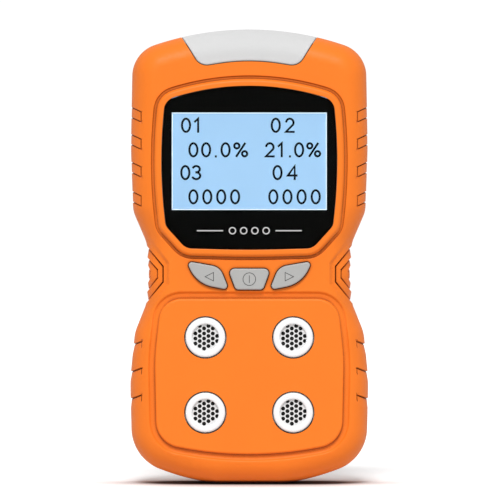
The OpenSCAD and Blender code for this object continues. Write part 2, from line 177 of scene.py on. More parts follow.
def rounded(points, r):
    """The same corner radius for every point."""
    return [(x, z, r) for x, z in points]


NOTCHES = [[(30.9, z - 1.5), (37, z + 1.45), (37, z - 1.45), (30.9, z - 4.4)]
           for z in (107.8, 100.0, 92.1, 83.8)]
RAMPS = [[(30.8, z + 1.25), (37, z - 1.15), (37, z - 4.15), (30.8, z - 1.75)]
         for z in (39.6, 32.0, 24.3)]
CHEVRONS = [[(24.7, 62.2), (30.0, 68.4), (40, 80.8), (40, 39.6), (30.1, 51.5), (24.7, 57.8)],
            [(26.4, 61.3), (29.5, 64.7), (40, 78.6), (40, 41.3), (29.7, 54.9), (26.4, 58.9)],
            [(28.5, 60.7), (29.1, 61.8), (40, 82), (40, 38.1), (29.1, 58.2), (28.5, 59.3)]]
CHEVRON_EDGE = [(23.2, 63.2), (28.2, 69.6), (40, 84.7), (40, 35.7), (28.3, 50.5), (23.2, 57.2)]
# half width of the grooves along the edges, and the part of it that is flat floor
NOTCH_LINE, CHEVRON_LINE = 0.2, 0.32
LINE_FLOOR = 0.35
# depth of each step, depth of its groove, and how far the step runs out
NOTCH_STEP, NOTCH_CUT = 0.05, 0.34
RAMP_STEP, RAMP_CUT, RAMP_RUN, RAMP_CUT_RUN = 0.35, 0.4, 2.8, 1.5
CHEVRON_STEP, CHEVRON_CUT, CHEVRON_RUN = 0.5, 0.5, 1.6


def line_at(sd, wide):
    """1 on the floor of a groove along an edge, 0 from wide away."""
    return np.clip((wide - np.abs(sd)) / (wide * (1 - LINE_FLOOR)), 0, 1)


def inside(sd, wide):
    """1 inside an edge, 0 outside it, and a ramp between."""
    return np.clip(sd / wide * 0.5 + 0.5, 0, 1)


def ease(t):
    """0 to 1 with soft ends."""
    t = np.clip(t, 0, 1)
    return t * t * (3 - 2 * t)


def grip_depth(p):
    """Depth of the crisp grips and of the soft hollow round the waist, under the plain case at p."""
    q = np.stack([np.abs(p[:, 0]), p[:, 1]], 1)
    crisp, soft = np.zeros(len(q)), np.zeros(len(q))
    near = q[:, 0] > 20
    s = q[near]
    g = np.zeros(len(s))
    for poly in NOTCHES:
        sd = depth_in(s, np.array(poly))
        g += NOTCH_STEP * inside(sd, NOTCH_LINE) + NOTCH_CUT * line_at(sd, NOTCH_LINE)
    for poly in RAMPS:
        sd = depth_in(s, np.array(poly))
        slope = (poly[1][1] - poly[0][1]) / (poly[1][0] - poly[0][0])
        below = poly[0][1] + (s[:, 0] - poly[0][0]) * slope - s[:, 1]
        g += RAMP_STEP * inside(sd, NOTCH_LINE) * np.clip(1 - below / RAMP_RUN, 0, 1)
        g += RAMP_CUT * line_at(sd, NOTCH_LINE) * (below < RAMP_CUT_RUN)
    for poly in CHEVRONS:
        sd = depth_in(s, np.array(poly))
        g += CHEVRON_STEP * inside(sd, CHEVRON_LINE) * np.clip(1 - sd / CHEVRON_RUN, 0, 1)
        g += CHEVRON_CUT * line_at(sd, CHEVRON_LINE)
    crisp[near] = g
    soft[near] = ease(depth_in(s, np.array(CHEVRON_EDGE)) + 0.5)
    return crisp, soft


def grip_lines():
    """Loops that the mesh has to follow so that the grips stay crisp."""
    loops = []
    cuts = [(n, 0.3, NOTCH_LINE) for n in NOTCHES + RAMPS] + [(c, 0.4, CHEVRON_LINE) for c in CHEVRONS]
    for poly, corner, wide in cuts:
        for side in (poly, mirror_x(poly)):
            for off in (-wide, -wide * LINE_FLOOR, wide * LINE_FLOOR, wide):
                loops.append(split(ring(rounded(side, corner), off, 0.4), 0.8))
    for side in (CHEVRON_EDGE, mirror_x(CHEVRON_EDGE)):
        for off in (-0.5, -0.2, 0.2, 0.5):
            loops.append(split(ring(rounded(side, 1.0), off, 0.5), 0.8))
    return loops


# ---------------------------------------------------------------- shapes of the two faces
def roll(d, band, run, depth):
    """Depth at distance d from the outline: an elliptic edge from the straight band to the flat face."""
    c = 1 - np.clip(d / run, 0, 1)
    return band + (depth - band) * np.sqrt(np.clip(1 - c * c, 0, 1))


def quarter(t, r):
    """Drop of a rounded edge of radius r at distance t from it."""
    t = np.clip(t, 0, r)
    return r - np.sqrt(r * r - (r - t) ** 2)


def front_depth(p):
    """How far the front face lies in front of the parting plane at p."""
    d = depth_in(p, CASE_LOOP)
    e = -depth_in(p, LENS_LOOP)
    q = depth_in(p, PANEL_LOOP)
    y = roll(d, FRONT_BAND, FRONT_RUN, FRONT_Y)
    y = y - MOAT_DEEP * (1 - ease((e - MOAT_END) / MOAT_EASE))
    y = y - GROOVE_DEEP * ease((q + GROOVE_OUT) / GROOVE_EASE)
    fall = np.clip((e - RIM_CREST) / (RIM_END - RIM_CREST), 0, 1)
    rim = RIM_Y - quarter(e, 0.3) - RIM_DROP * (1 - np.sqrt(np.clip(1 - fall ** 2, 0, 1)))
    y = np.where((e > -0.5) & (e < RIM_END), np.maximum(y, rim), y)
    top = PANEL_Y - quarter(q, 0.6) * 0.8
    y = np.where(q > 0, top, np.where(q > -0.12, y + (PANEL_Y - 0.48 - y) * (1 + q / 0.12), y))
    return y


def rear_depth(p):
    """How far the back lies behind the parting plane at p."""
    d = depth_in(p, CASE_LOOP)
    y = roll(d, REAR_BAND, REAR_RUN, REAR_Y)
    sunk = np.clip(depth_in(p, LABEL_LOOP) / 0.12 + 0.5, 0, 1)
    return y - 0.3 * sunk


# ---------------------------------------------------------------- materials
def ramp(tree, value, low, high, start, end):
    """A value that runs from start to end while the given one runs from low to high."""
    made = tree.nodes.new("ShaderNodeMapRange")
    made.inputs["From Min"].default_value = low
    made.inputs["From Max"].default_value = high
    made.inputs["To Min"].default_value = start
    made.inputs["To Max"].default_value = end
    tree.links.new(value, made.inputs["Value"])
    return made.outputs["Result"]


def occlusion_for_painted_shade(tree, reach, samples):
    """1 in the open, lower where other surfaces stand within reach, in metres; it sets where shade is
    painted.
    """
    made = tree.nodes.new("ShaderNodeAmbientOcclusion")
    made.samples = samples
    made.inputs["Distance"].default_value = reach
    return made.outputs["AO"]


def add_painted_gap_shade(tree, shade, painted_gap_shade, reach):
    """The colour with painted shade: it turns to the given shade colour in narrow gaps and grooves."""
    mix = tree.nodes.new("ShaderNodeMix")
    mix.data_type = "RGBA"
    mix.inputs["A"].default_value = tuple(painted_gap_shade) + (1,)
    tree.links.new(shade, mix.inputs["B"])
    # painted shade: where the occlusion is low, the colour is blended into the shade colour
    tree.links.new(ramp(tree, occlusion_for_painted_shade(tree, reach * MM, 12), 0.3, 0.95, 0, 1), mix.inputs["Factor"])
    return mix.outputs["Result"]


def material(name, colour, rough=0.45, vary=0.05, vary_scale=60, grain=0.15, grain_scale=2400, metal=0.0,
             rough_vary=0.06, painted_gap_shade=None, reach=1.2, **extra):
    """Moulded or machined finish: uneven colour and gloss, fine grain, and painted shade that darkens the
    colour in narrow gaps when a shade colour is given.
    """
    mat = bpy.data.materials.new(name)
    mat.use_nodes = True
    tree = mat.node_tree
    shader = tree.nodes["Principled BSDF"]
    coords = tree.nodes.new("ShaderNodeTexCoord")

    def noise(scale, detail=3.0):
        made = tree.nodes.new("ShaderNodeTexNoise")
        made.inputs["Scale"].default_value = scale
        made.inputs["Detail"].default_value = detail
        tree.links.new(coords.outputs["Object"], made.inputs["Vector"])
        return made.outputs["Fac"]

    def spread(value, low, high):
        return ramp(tree, value, 0.3, 0.7, low, high)

    mix = tree.nodes.new("ShaderNodeMix")
    mix.data_type = "RGBA"
    mix.inputs["A"].default_value = tuple(c * (1 - vary) for c in colour) + (1,)
    mix.inputs["B"].default_value = tuple(min(1, c * (1 + vary)) for c in colour) + (1,)
    tree.links.new(spread(noise(vary_scale), 0, 1), mix.inputs["Factor"])
    shade = mix.outputs["Result"]
    if painted_gap_shade:
        shade = add_painted_gap_shade(tree, shade, painted_gap_shade, reach)
    tree.links.new(shade, shader.inputs["Base Color"])
    gloss = spread(noise(vary_scale * 12), rough - rough_vary, rough + rough_vary)
    tree.links.new(gloss, shader.inputs["Roughness"])
    bump = tree.nodes.new("ShaderNodeBump")
    bump.inputs["Strength"].default_value = grain
    bump.inputs["Distance"].default_value = 0.00004
    tree.links.new(noise(grain_scale, 2.0), bump.inputs["Height"])
    tree.links.new(bump.outputs["Normal"], shader.inputs["Normal"])
    shader.inputs["Metallic"].default_value = metal
    for key, value in extra.items():
        shader.inputs[key].default_value = value
    return mat


MATERIALS = {
    # the orange case gets painted shade in its grooves and gaps besides its own colour
    "orange_case": material("orange_case_finish_and_painted_shade", (0.95, 0.212, 0.016), 0.45, 0.02, grain=0.25,
                            painted_gap_shade=(0.09, 0.014, 0.003), **{"Specular IOR Level": 0.25}),
    "black_rubber": material("black_rubber_finish", (0.02, 0.02, 0.022), 0.7, 0.15, grain=0.4),
    # the alarm light gets painted shade round its edge from the occlusion node
    "diffuser": material("diffuser_finish_painted_glow_and_shade", (0.44, 0.44, 0.44), 0.62, 0.02, grain=0.1,
                         painted_gap_shade=(0.1, 0.07, 0.05), reach=0.8,
                         **{"Subsurface Weight": 0.4, "Subsurface Scale": 0.002,
                            "Subsurface Radius": (1, 1, 1),
                            # painted glow: the unlit alarm light gives off light so that its shading evens
                            # out
                            "Specular IOR Level": 0.25, "Emission Color": (1, 1, 1, 1),
                            "Emission Strength": 0.24}),
    "lens": material("lens_finish", (0.92, 0.94, 0.96), 0.05, 0.01, grain=0.0, rough_vary=0.02,
                     **{"Transmission Weight": 1.0, "IOR": 1.2}),
    "black_print": material("black_print_finish", (0.006, 0.006, 0.008), 0.5, 0.1, grain=0.05),
    "reading_ink": material("reading_ink_finish", (0.001, 0.004, 0.012), 0.7, 0.1, grain=0.0,
                            **{"Specular IOR Level": 0.0}),
    "lcd_glass": material("lcd_glass_finish", (0.1, 0.14, 0.18), 0.4, 0.02, grain=0.02,
                          **{"Emission Color": (0.36, 0.62, 0.9, 1), "Emission Strength": 0.93}),
    "white_plastic": material("white_plastic_finish", (0.75, 0.75, 0.73), 0.5),
    "backlight": material("backlight_finish", (0.85, 0.87, 0.9), 0.3,
                          **{"Emission Color": (0.72, 0.88, 1, 1), "Emission Strength": 0.8}),
    "key_grey": material("key_grey_finish", (0.43, 0.43, 0.42), 0.5, 0.03, grain=0.25),
    "switch_black": material("switch_black_finish", (0.03, 0.03, 0.03), 0.45),
    "board_green": material("board_green_finish", (0.01, 0.12, 0.05), 0.35, 0.25, 400),
    "chip_black": material("chip_black_finish", (0.015, 0.015, 0.017), 0.55),
    "ring_white": material("ring_white_finish", (0.93, 0.93, 0.94), 0.38, 0.015, grain=0.08),
    "grille_grey": material("grille_grey_finish", (0.78, 0.78, 0.78), 0.4, 0.06, 500),
    "cell_plastic": material("cell_plastic_finish", (0.03, 0.03, 0.03), 0.5),
    "battery_can": material("battery_can_finish", (0.05, 0.12, 0.35), 0.35),
    "foam": material("foam_finish", (0.05, 0.05, 0.05), 0.9, 0.3, 900, grain=0.9, grain_scale=1500),
    "connector_cream": material("connector_cream_finish", (0.8, 0.76, 0.66), 0.45),
    "lead_red": material("lead_red_finish", (0.5, 0.02, 0.02), 0.4),
    "steel": material("steel_finish", (0.55, 0.55, 0.56), 0.3, 0.08, 300, metal=1.0, grain=0.1),
    "weight": material("weight_finish", (0.3, 0.3, 0.31), 0.4, 0.1, 300, metal=1.0),
    "led": material("led_finish", (0.85, 0.8, 0.55), 0.25),
    "clip_black": material("clip_black_finish", (0.022, 0.022, 0.024), 0.48, 0.12, grain=0.35),
    "label_silver": material("label_silver_finish", (0.6, 0.6, 0.6), 0.42, 0.012, 700, metal=0.3, grain=0.2,
                             rough_vary=0.02),
}


# ---------------------------------------------------------------- meshes
def triangles(outer, holes, lines, spots):
    """Constrained triangles inside outer and outside the holes."""
    pts, edges = [], []
    for loop in [outer] + holes + lines:
        base = len(pts)
        pts.extend(loop)
        edges.extend((base + i, base + (i + 1) % len(loop)) for i in range(len(loop)))
    pts.extend(spots)
    got = delaunay_2d_cdt([Vector((float(x), float(z))) for x, z in pts], edges, [], 0, 1e-4)
    v = np.array([tuple(c) for c in got[0]])
    f = np.array([tuple(t) for t in got[2]])
    mid = v[f].mean(1)
    keep = depth_in(mid, outer) > 0
    for hole in holes:
        keep &= depth_in(mid, hole) < 0
    f = f[keep]
    a, b, c = v[f[:, 0]], v[f[:, 1]], v[f[:, 2]]
    area = (b - a)[:, 0] * (c - a)[:, 1] - (b - a)[:, 1] * (c - a)[:, 0]
    f[area < 0] = f[area < 0][:, ::-1]
    return renumbered(v, f)


def renumbered(v, f):
    """Only the vertices that the faces use, with the faces numbered to match."""
    used = np.unique(f)
    new = np.full(len(v), -1)
    new[used] = np.arange(len(used))
    return v[used], new[f]


def borders(f):
    """Closed chains of the edges that belong to one triangle."""
    pairs = {(int(t[i]), int(t[(i + 1) % 3])) for t in f for i in range(3)}
    follow = {}
    for a, b in sorted(pairs):
        if (b, a) not in pairs:
            follow.setdefault(a, []).append(b)
    loops = []
    while follow:
        start = min(follow)
        chain = [start]
        at = start
        while True:
            nxt = follow[at].pop()
            if not follow[at]:
                del follow[at]
            if nxt == start:
                break
            chain.append(nxt)
            at = nxt
        loops.append(chain)
    return loops


def runs(chain, flags):
    """The closed chain cut into stretches with one flag each; neighbours share their end point."""
    n = len(chain)
    links = [flags[i] and flags[(i + 1) % n] for i in range(n)]
    if all(links) or not any(links):
        return [(links[0], chain + chain[:1])]
    first = next(i for i in range(n) if links[i] != links[i - 1])
    out = []
    for k in range(n):
        i = (first + k) % n
        if not out or out[-1][0] != links[i]:
            out.append((links[i], [chain[i]]))
        out[-1][1].append(chain[(i + 1) % n])
    return out


def make(name, verts, faces, slot, body, replaced=(), sharp=32, wall=0.0, finish=None):
    """A mesh object from millimetre vertices, tied to its CAD body, slot and nodes."""
    mesh = bpy.data.meshes.new(name)
    mesh.from_pydata((np.array(verts, float) * MM).tolist(), [], [list(map(int, f)) for f in faces])
    mesh.validate()
    work = bmesh.new()
    work.from_mesh(mesh)
    bmesh.ops.remove_doubles(work, verts=work.verts, dist=2e-7)
    work.to_mesh(mesh)
    work.free()
    mesh.shade_smooth()
    mesh.set_sharp_from_angle(angle=math.radians(sharp))
    obj = bpy.data.objects.new(name, mesh)
    bpy.context.collection.objects.link(obj)
    if wall:
        solid = obj.modifiers.new("wall", "SOLIDIFY")
        solid.thickness = wall * MM
        solid.offset = -1
        solid.use_even_offset = False
    weighted = obj.modifiers.new("weighted", "WEIGHTED_NORMAL")
    weighted.keep_sharp = True
    weighted.weight = 90
    mesh.materials.append(MATERIALS[finish or slot])
    if body:
        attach(obj, body)
    if replaced:
        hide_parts(*replaced)
    return obj


def wall_quads(columns, closed=False):
    """Quads between neighbouring columns of vertex numbers."""
    follow = columns[1:] + (columns[:1] if closed else [])
    return [[b[k], a[k], a[k + 1], b[k + 1]] for a, b in zip(columns, follow) for k in range(len(a) - 1)]


def outward(v):
    """Direction in the x-z plane that leaves the case outline fastest."""
    eps = 0.05
    slope = [depth_in(v + d, CASE_LOOP) - depth_in(v - d, CASE_LOOP) for d in ([eps, 0], [0, eps])]
    slope = np.stack(slope, 1)
    return -slope / np.maximum(np.linalg.norm(slope, axis=1, keepdims=True), 1e-9)


def shell_skin(v, f, sign, depth, rows, holes):
    """Outer skin of a case half: face, hole walls and straight band."""
    band, run, top = (FRONT_BAND, FRONT_RUN, FRONT_Y) if sign < 0 else (REAR_BAND, REAR_RUN, REAR_Y)
    out_dir = outward(v)
    cos = 1 - np.clip(depth_in(v, CASE_LOOP) / run, 0, 1)
    nx = (top - band) * cos
    ny = run * np.sqrt(np.clip(1 - cos * cos, 0, 1))
    size = np.hypot(nx, ny)
    g, hollow = grip_depth(v)
    flat = v - out_dir * (g * nx / size)[:, None]
    y = depth(v) - g * ny / size - hollow * (ny / size) ** 2
    verts = np.stack([flat[:, 0], sign * y, flat[:, 1]], 1).tolist()
    faces = [list(t) for t in f]
    edge = np.abs(depth_in(v, CASE_LOOP)) < 0.004
    for chain in borders(f):
        for is_band, stretch in runs(chain, [bool(edge[i]) for i in chain]):
            columns = [[i] for i in stretch]
            if is_band:
                for row in rows:
                    inset = 0.16 * max(0.0, 1 - abs(row) / 0.16)
                    for c, i in zip(columns, stretch):
                        x, _, z = verts[i]
                        verts.append([x - out_dir[i][0] * inset, row, z - out_dir[i][1] * inset])
                        c.append(len(verts) - 1)
            else:
                at = v[stretch]
                end, floor = min(holes, key=lambda h: np.abs(depth_in(at, h[0])).mean())[1:]
                for c, i in zip(columns, stretch):
                    verts.append([verts[i][0], sign * min(end, abs(verts[i][1]) - 1.2), verts[i][2]])
                    c.append(len(verts) - 1)
                if floor:
                    mid = at[:-1].mean(0)
                    verts.append([mid[0], sign * end, mid[1]])
                    faces += [[len(verts) - 1, a[1], b[1]] for a, b in zip(columns, columns[1:])]
            faces += wall_quads(columns)
    if sign > 0:
        faces = [face[::-1] for face in faces]
    return verts, faces


def rings_of(loop, offsets, step=0.8):
    """The outline moved inwards by each offset."""
    return [split(ring(loop, off, step), step * 1.6) for off in offsets]


def face_spots(x1, z0, z1, pitch):
    """A staggered grid of mesh points."""
    out = []
    for j, z in enumerate(np.arange(z0, z1, pitch * 0.87)):
        out.extend((x + (j % 2) * pitch / 2, z) for x in np.arange(-x1, x1, pitch))
    return out


def roll_rings(run, count=12):
    """Mesh loops down the rounded edge of a case half, closer together where it is steep."""
    return rings_of(CASE, [run * (1 - math.cos(math.pi / 2 * k / count)) for k in range(1, count + 1)])


def stadium(x0, x1, z, r, n=8):
    """Closed slot with round ends."""
    turn = np.linspace(-math.pi / 2, math.pi / 2, n)
    right = [(x1 - r + r * math.cos(a), z + r * math.sin(a)) for a in turn]
    left = [(x0 + r - r * math.cos(a), z - r * math.sin(a)) for a in turn]
    return np.array(right + left)


def with_points(loop, extra):
    """The loop with extra points put into its nearest stretches."""
    loop = [np.array(p) for p in loop]
    for p in extra:
        p = np.array(p, float)
        best, place = 1e9, 0
        for i, a in enumerate(loop):
            b = loop[(i + 1) % len(loop)]
            t = np.clip(np.dot(p - a, b - a) / max(np.dot(b - a, b - a), 1e-12), 0, 1)
            gap = np.linalg.norm(p - a - t * (b - a))
            if gap < best:
                best, place, foot = gap, i, a + t * (b - a)
        loop.insert(place + 1, foot)
    return np.array(loop)


def light_corner():
    """Where the case outline enters the alarm light, on the right."""
    top = CASE_LOOP[(CASE_LOOP[:, 1] > 118) & (CASE_LOOP[:, 0] > 10)]
    top = split(top, 0.05)[:-1]
    near = np.abs(depth_in(top, DIFF_LOOP))
    return top[np.argmin(near)]


def build_front():
    """The front half of the case, with the window, key and port openings."""
    key_holes = [ring(k, -KEY_GAP, 0.3) for k in (MID_KEY, SIDE_KEY, LEFT_KEY)]
    port_holes = [circle(x, z, PORT_HOLE) for x, z in PORTS]
    lens_hole = ring(LENS, -0.12, 0.5)
    lines = roll_rings(FRONT_RUN)
    lines += rings_of(LENS, [-0.2, -0.3, -0.42, -0.8, -1.15, -1.4, -1.6, -1.8, -1.95, -2.07, -2.15, -2.2,
                             -2.5, -2.8, -2.9, -2.98, -3.06, -3.15, -3.4, -4.0])
    lines += rings_of(PANEL, [0.6, 0.45, 0.3, 0.18, 0.08, 0.0, -0.12, -0.3, -0.8, -1.4, -1.6, -1.8, -2.0,
                              -2.2, -2.6])
    lines += grip_lines()
    for k in (MID_KEY, SIDE_KEY, LEFT_KEY):
        lines.append(ring(k, -KEY_GAP - 0.15, 0.3))
        lines.append(ring(k, -KEY_GAP - 0.35, 0.3))
    lines += [circle(x, z, PORT_HOLE + d) for x, z in PORTS for d in (0.2, 0.5)]
    v, f = triangles(CASE_LOOP, [lens_hole, DIFF_LOOP] + key_holes + port_holes, lines,
                     face_spots(30, 5, 126, 2.0))
    ends = [(lens_hole, SEAT_Y, False), (DIFF_LOOP, INNER_Y, False)]
    ends += [(h, INNER_Y, False) for h in key_holes + port_holes]
    verts, faces = shell_skin(v, f, -1, front_depth, [-4.2, -3.2, -2.2, -1.3, -0.5, -0.16, 0.0], ends)
    make("case_front", verts, faces, "orange_case", "case", ["front_shell"], wall=WALL)


def build_rear():
    """The rear half of the case, with its screw bores, sound slots, label recess and port pocket."""
    bores = [circle(s * x, z, SCREW_BORE, 40) for s in (-1, 1) for x, z in CASE_SCREWS]
    slots = [stadium(-20, -12.5, z, 0.5) for z in (108.6, 111.2, 113.8)]
    corner = light_corner()
    outer = with_points(CASE_LOOP, [corner, corner * [-1, 1], (POCKET_X, 0), (-POCKET_X, 0)])
    lines = roll_rings(REAR_RUN) + grip_lines() + rings_of(LABEL, [-0.2, -0.04, 0.1])
    lines += [circle(s * x, z, SCREW_BORE + d, 40)
              for s in (-1, 1) for x, z in CASE_SCREWS for d in (0.3, 0.7)]
    v, f = triangles(outer, bores + slots, lines, face_spots(30, 5, 126, 2.4))
    ends = [(b, BORE_END, True) for b in bores] + [(s, REAR_Y - 2, False) for s in slots]
    rows = [POCKET_Y1, 7.0, LIGHT_END, 5, 3.4, POCKET_Y0, 0.5, 0.16, 0.0]
    verts, faces = shell_skin(v, f, 1, rear_depth, rows, ends)
    at = np.array(verts)
    kept = []
    for face in faces:
        x, y, z = at[face].mean(0)
        in_light = abs(x) < corner[0] and z > 118 and y < LIGHT_END
        in_port = abs(x) < POCKET_X and z < 0.6 and POCKET_Y0 < y < POCKET_Y1
        if not in_light and not in_port:
            kept.append(face)
    foot = sorted({round(x, 6) for x, y, z in verts
                   if abs(x) <= POCKET_X + 0.0001 and z < 0.02 and abs(y - POCKET_Y0) < 0.01})
    kept += recess(verts, foot)
    make("case_rear", verts, kept, "orange_case", "case", ["rear_shell"], wall=WALL)


def recess(verts, foot):
    """Walls of the pocket that the port cover lies in, with the socket opening in its ceiling."""
    y0, y1, z0, z1 = POCKET_Y0, POCKET_Y1, 0.0, POCKET_H
    grid_y = [y0, SOCKET_Y0, 3.4, 5.0, SOCKET_Y1, 7.0, y1]
    grid_x = sorted(set(foot) | {-SOCKET_X, SOCKET_X})
    faces = []

    def quad(*corners):
        base = len(verts)
        verts.extend([list(c) for c in corners])
        faces.append([base, base + 1, base + 2, base + 3])

    for a, b in zip(foot, foot[1:]):
        quad((b, y0, z0), (a, y0, z0), (a, y0, z1), (b, y0, z1))
        quad((a, y1, z0), (b, y1, z0), (b, y1, z1), (a, y1, z1))
    rows = [y0, 3.4, 5.0, LIGHT_END, 7.0, y1]
    for x, flip in ((foot[0], False), (foot[-1], True)):
        for a, b in zip(rows, rows[1:]):
            if flip:
                a, b = b, a
            quad((x, a, z0), (x, b, z0), (x, b, z1), (x, a, z1))
    for a, b in zip(grid_x, grid_x[1:]):
        for c, d in zip(grid_y, grid_y[1:]):
            if abs(a + b) / 2 <= SOCKET_X and SOCKET_Y0 <= (c + d) / 2 <= SOCKET_Y1:
                continue
            quad((a, c, z1), (a, d, z1), (b, d, z1), (b, c, z1))
    corners = [(-SOCKET_X, SOCKET_Y0), (SOCKET_X, SOCKET_Y0), (SOCKET_X, SOCKET_Y1), (-SOCKET_X, SOCKET_Y1)]
    for (ax, ay), (bx, by) in zip(corners, corners[1:] + corners[:1]):
        quad((ax, ay, z1), (bx, by, z1), (bx, by, z1 + SOCKET_DEEP), (ax, ay, z1 + SOCKET_DEEP))
    return faces


def build_light():
    """The alarm light: a translucent cap that follows the case over its top edge."""
    inner = ring(DIFF, 0.2, 0.4)
    lines = roll_rings(FRONT_RUN) + [ring(DIFF, d, 0.4) for d in (0.3, 0.42, 0.6, 0.9)]
    v, f = triangles(CASE_LOOP, [], [inner] + lines, face_spots(22, 118, 130, 1.6))
    v, f = renumbered(v, f[depth_in(v[f].mean(1), inner) > 0])
    y = roll(depth_in(v, CASE_LOOP), FRONT_BAND, FRONT_RUN, FRONT_Y) - quarter(depth_in(v, inner), 0.5)
    verts = np.stack([v[:, 0], -y, v[:, 1]], 1).tolist()
    faces = [list(t) for t in f]
    edge = np.abs(depth_in(v, CASE_LOOP)) < 0.004
    for chain in borders(f):
        for is_band, stretch in runs(chain, [bool(edge[i]) for i in chain]):
            if not is_band:
                continue
            columns = [[i] for i in stretch]
            for row in [-4, -2.5, -1, 0.5, 2, 3.5, 5, LIGHT_END - 0.4, LIGHT_END - 0.15]:
                for c, i in zip(columns, stretch):
                    verts.append([verts[i][0], row, verts[i][2]])
                    c.append(len(verts) - 1)
            faces += wall_quads(columns)
    make("alarm_light", verts, faces, "diffuser", "case", ["alarm_diffuser"], wall=LIGHT_WALL)


def pad(name, corners, y_top, y_low, edge, slot, body, replaced):
    """A closed cap with a rounded top edge, straight walls and a flat back."""
    outline = ring(corners, 0, 0.3)
    insets = [edge * (1 - math.cos(math.radians(a))) for a in (22.5, 45, 67.5, 90)]
    v, f = triangles(outline, [], [ring(corners, d, 0.3) for d in insets], [])
    y = y_top - quarter(depth_in(v, outline), edge)
    verts = np.stack([v[:, 0], -y, v[:, 1]], 1).tolist()
    faces = [list(t) for t in f]
    for chain in borders(f):
        columns = [[i] for i in chain]
        for c, i in zip(columns, chain):
            verts.append([verts[i][0], -y_low, verts[i][2]])
            c.append(len(verts) - 1)
        faces += wall_quads(columns, closed=True)
        base = len(verts)
        flat = np.array([[verts[c[-1]][0], verts[c[-1]][2]] for c in columns])
        back, tiles = triangles(flat, [], [], [])
        verts.extend([[x, -y_low, z] for x, z in back])
        faces += [[base + t[0], base + t[2], base + t[1]] for t in tiles.tolist()]
    return make(name, verts, faces, slot, body, replaced)


def lathe(name, x, z, profile, slot, body, replaced, n=96):
    """A closed profile of radius and y pairs turned round the line through (x, z) along Y."""
    m = len(profile)
    verts = []
    for k in range(n):
        a = 2 * math.pi * k / n
        verts.extend([x + r * math.cos(a), y, z + r * math.sin(a)] for r, y in profile)
    faces = []
    for k in range(n):
        j = (k + 1) % n
        faces += [[k * m + i, k * m + (i + 1) % m, j * m + (i + 1) % m, j * m + i] for i in range(m)]
    return make(name, verts, faces, slot, body, replaced)


def arc(cr, cy, r, a0, a1, n=6):
    """Points of a rounded edge between two angles in degrees."""
    turn = np.radians(np.linspace(a0, a1, n))
    return [(cr + r * math.cos(a), cy + r * math.sin(a)) for a in turn]


def port_profile():
    """From the back of the flange outwards, over the soft lip and down the bore."""
    top, wide, bore = -15.3, RING_D / 2, RING_BORE / 2
    out = [(7.3, -11.8), (7.3, -12.35), (wide, -12.35)]
    out += arc(wide - 0.7, top + 0.7, 0.7, 0, -90, 8)
    out += arc(bore + 0.45, top + 0.45, 0.45, -90, -180, 6)
    out += [(bore, -14.3), (4.4, -14.3), (4.4, -11.8)]
    return out


# ---------------------------------------------------------------- readings and marks
GLYPHS = {
    "1": [[(0.1, 0.78), (0.55, 1), (0.55, 0)]],
    "4": [[(0.78, 0), (0.78, 1), (0, 0.28), (1, 0.28)]],
    ".": [[(0.45, 0), (0.55, 0)]],
}


def oval(cx, cz, rx, rz, a0=0, a1=360, n=22):
    """Points of an ellipse, or of a part of it, between two angles in degrees."""
    turn = np.radians(np.linspace(a0, a1, n))
    return [(cx + rx * math.cos(a), cz + rz * math.sin(a)) for a in turn]


GLYPHS["0"] = [oval(0.5, 0.5, 0.5, 0.5)]
GLYPHS["2"] = [oval(0.5, 0.7, 0.46, 0.3, 165, -35, 12) + [(0.02, 0), (1, 0)]]
GLYPHS["3"] = [oval(0.44, 0.76, 0.46, 0.24, 150, -90, 12), oval(0.44, 0.26, 0.52, 0.26, 90, -150, 12)]
GLYPHS["%"] = [oval(0.2, 0.8, 0.2, 0.2, n=12), oval(0.8, 0.2, 0.2, 0.2, n=12), [(0.82, 0.98), (0.18, 0.02)]]
WIDTHS = {"0": 2.3, "1": 2.0, "2": 2.3, "3": 2.2, "4": 2.5, "%": 3.7, ".": 0.6}
CAP_H, STROKE = 3.75, 0.6


def stroke_mesh(paths, width, y0, y1):
    """Round-ended strokes along the paths in x and z, as one flat raised mesh."""
    verts, faces = [], []
    for path in paths:
        path = [np.array(p, float) for p in path]
        shut = np.linalg.norm(path[0] - path[-1]) < 1e-6
        left, right = [], []
        for i, p in enumerate(path):
            before = path[i - 1] if i else (path[-2] if shut else None)
            after = path[i + 1] if i + 1 < len(path) else (path[1] if shut else None)
            d0 = (p - before) / np.linalg.norm(p - before) if before is not None else None
            d1 = (after - p) / np.linalg.norm(after - p) if after is not None else None
            d0 = d1 if d0 is None else d0
            d1 = d0 if d1 is None else d1
            bend = d0 + d1
            bend = bend / max(np.linalg.norm(bend), 1e-6)
            side = np.array([-bend[1], bend[0]])
            reach = width / 2 / max(abs(float(bend @ d0)), 0.45)
            end = np.zeros(2)
            if not shut and i == 0:
                end = -d0 * width * 0.4
            if not shut and i == len(path) - 1:
                end = d1 * width * 0.4
            left.append(p + side * reach + end)
            right.append(p - side * reach + end)
        base = len(verts)
        for a, b in zip(left, right):
            verts += [[a[0], y0, a[1]], [b[0], y0, b[1]], [b[0], y1, b[1]], [a[0], y1, a[1]]]
        for i in range(len(left) - 1):
            p, q = base + 4 * i, base + 4 * i + 4
            faces += [[p + k, p + (k + 1) % 4, q + (k + 1) % 4, q + k] for k in range(4)]
        if not shut:
            last = base + 4 * (len(left) - 1)
            faces += [[base + 3, base + 2, base + 1, base], [last, last + 1, last + 2, last + 3]]
    return verts, faces


def reading(text, x0, x1, z):
    """Stroke paths of one reading that runs from x0 to x1 on the line z."""
    paths = []
    gap = (x1 - x0 - sum(WIDTHS[c] for c in text)) / (len(text) - 1)
    x = x0
    for letter in text:
        wide = WIDTHS[letter]
        paths += [[(x + a * wide, z + b * CAP_H) for a, b in path] for path in GLYPHS[letter]]
        x += wide + gap
    return paths


